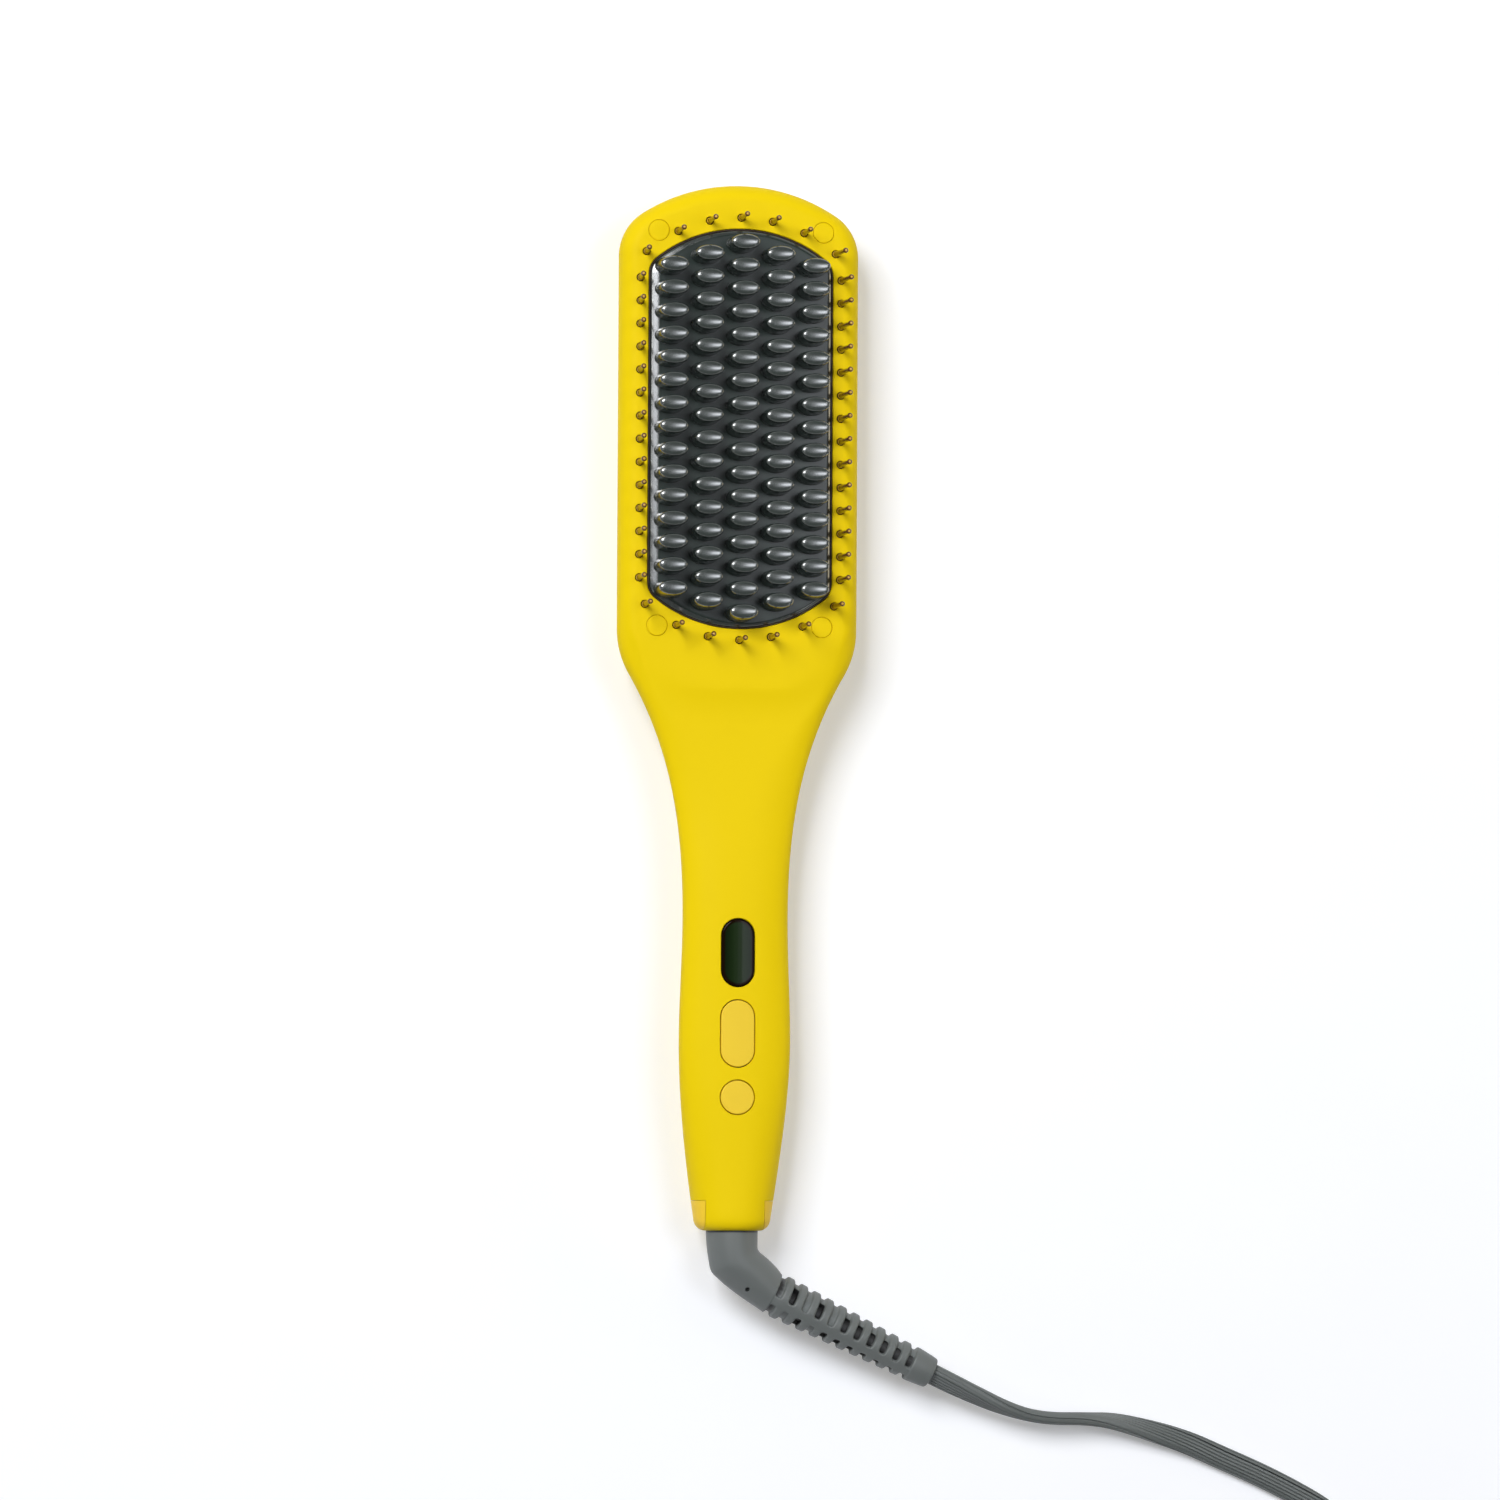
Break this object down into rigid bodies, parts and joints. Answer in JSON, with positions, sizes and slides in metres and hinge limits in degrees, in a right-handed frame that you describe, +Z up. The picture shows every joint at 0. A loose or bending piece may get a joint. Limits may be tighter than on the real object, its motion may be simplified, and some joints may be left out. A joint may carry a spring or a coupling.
{
  "type": "hair straightening brush",
  "caption": "Heated paddle brush with a toothed ceramic plate ringed by cool pins, a slim grip with display and buttons, and a flat swivel cord coiled to its plug.",
  "frame": {"origin": "on the table under the middle of the brush, its cord left out", "axes": "+Y to the top of the head, +X to the right seen from the teeth, +Z up out of the teeth"},
  "size_m": [0.2298, 0.4879, 0.0373],
  "materials": {
    "shell": "satin yellow moulding",
    "accent": "paler satin yellow moulding",
    "plate": "glossy ceramic coat",
    "gasket": "dark brown silicone",
    "pins": "translucent amber nylon",
    "steel": "zinc plated",
    "ceramic": "bare ceramic",
    "aluminium": "rolled sheet",
    "mica": "mica sheet",
    "black_plastic": "matte black",
    "lead_red": "silicone sleeve",
    "lead_white": "silicone sleeve",
    "lead_black": "silicone sleeve",
    "board": "green solder mask",
    "capacitor": "yellow film case",
    "can": "sleeved can",
    "lens": "dark polished window",
    "plunger": "natural nylon",
    "brass": "plain",
    "cord": "satin grey soft plastic",
    "tie": "black strap"
  },
  "bodies": {
    "housing": {"front_shell": "shell", "rear_shell": "shell", "screw_covers": "shell", "tail_collar": "accent", "heat_plate": "plate", "plate_gasket": "gasket", "cool_pins": "pins", "head_screws": "steel", "clamp_screws": "steel", "board_screws": "steel", "heater_element": "ceramic", "heater_clamp": "aluminium", "insulation_sheet": "mica", "thermistor": "black_plastic", "thermal_fuse": "steel", "heater_leads": "lead_red", "fuse_leads": "lead_white", "sensor_leads": "lead_white", "mains_leads": "lead_black", "control_board": "board", "control_chip": "black_plastic", "triac": "black_plastic", "filter_capacitor": "capacitor", "reservoir_capacitor": "can", "display_module": "black_plastic", "display_lens": "lens", "button_frame": "black_plastic", "switch_bodies": "black_plastic", "swivel_socket": "black_plastic", "contact_block": "black_plastic", "contact_springs": "brass"},
    "rocker": {"rocker_button": "accent"},
    "power": {"power_button": "accent", "plunger_power": "plunger"},
    "plunger_up": {"plunger_up": "plunger"},
    "plunger_down": {"plunger_down": "plunger"},
    "swivel": {"swivel_elbow": "cord", "strain_relief": "cord", "retaining_clip": "steel", "slip_rings": "brass", "swivel_wires": "lead_white", "inner_cord": "cord", "cord_lead": "cord", "cord_coil": "cord", "cord_tail": "cord", "cord_tie": "tie", "plug_body": "cord", "plug_blades": "brass"}
  },
  "joints": [
    {"name": "rocker_tilt", "type": "hinge", "parent": "housing", "child": "rocker", "pos_m": [0, -0.0905, 0.0208], "axis": [1, 0, 0], "range_deg": [-2.5, 2.5], "stiffness_Nm_per_rad": 0.1},
    {"name": "plunger_up_slide", "type": "slide", "parent": "housing", "child": "plunger_up", "axis": [0, 0, 1], "range_m": [-0.00022, 0.00022]},
    {"name": "plunger_down_slide", "type": "slide", "parent": "housing", "child": "plunger_down", "axis": [0, 0, 1], "range_m": [-0.00022, 0.00022]},
    {"name": "power_press", "type": "slide", "parent": "housing", "child": "power", "axis": [0, 0, 1], "range_m": [-0.0004, 0], "stiffness_N_per_m": 1500, "springref_m": 0.0003},
    {"name": "cord_swivel", "type": "hinge", "parent": "housing", "child": "swivel", "pos_m": [0, -0.1448, 0.0145], "axis": [0, 1, 0], "continuous": true}
  ],
  "couplings": [
    {"joint": "plunger_up_slide", "follows": "rocker_tilt", "m_per_rad": 0.005},
    {"joint": "plunger_down_slide", "follows": "rocker_tilt", "m_per_rad": -0.005}
  ]
}
